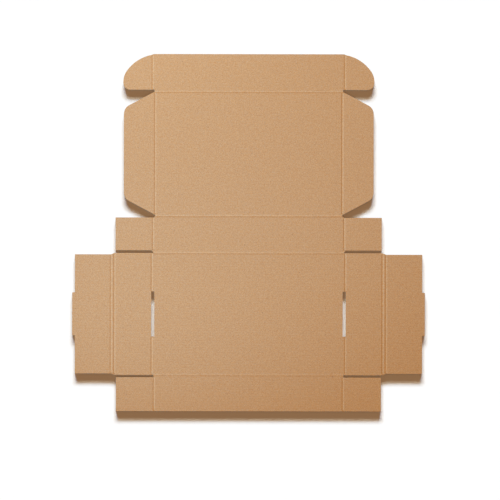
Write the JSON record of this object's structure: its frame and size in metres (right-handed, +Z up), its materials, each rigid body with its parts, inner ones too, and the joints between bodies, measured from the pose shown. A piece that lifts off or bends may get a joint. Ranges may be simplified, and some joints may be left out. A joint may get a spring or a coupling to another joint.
{
  "type": "flattened cardboard mailer box",
  "caption": "Flat die-cut sheet of thin corrugated board, creased to fold into a shallow roll-end tuck-front mailer box with locking side walls.",
  "frame": {"origin": "middle of the blank's outline, on the outside face that it lies on", "axes": "+X along the box's length and the flutes, +Y from the front wall to the lid's tuck flap, +Z up out of the creased inside face"},
  "size_m": [0.4796, 0.4856, 0.0015],
  "materials": {
    "kraft_board": "uncoated brown kraft liner on thin corrugated board, matt, with fine fibre mottling and faint flute lines"
  },
  "bodies": {
    "root": {"mailer_blank": "kraft_board"}
  },
  "joints": []
}
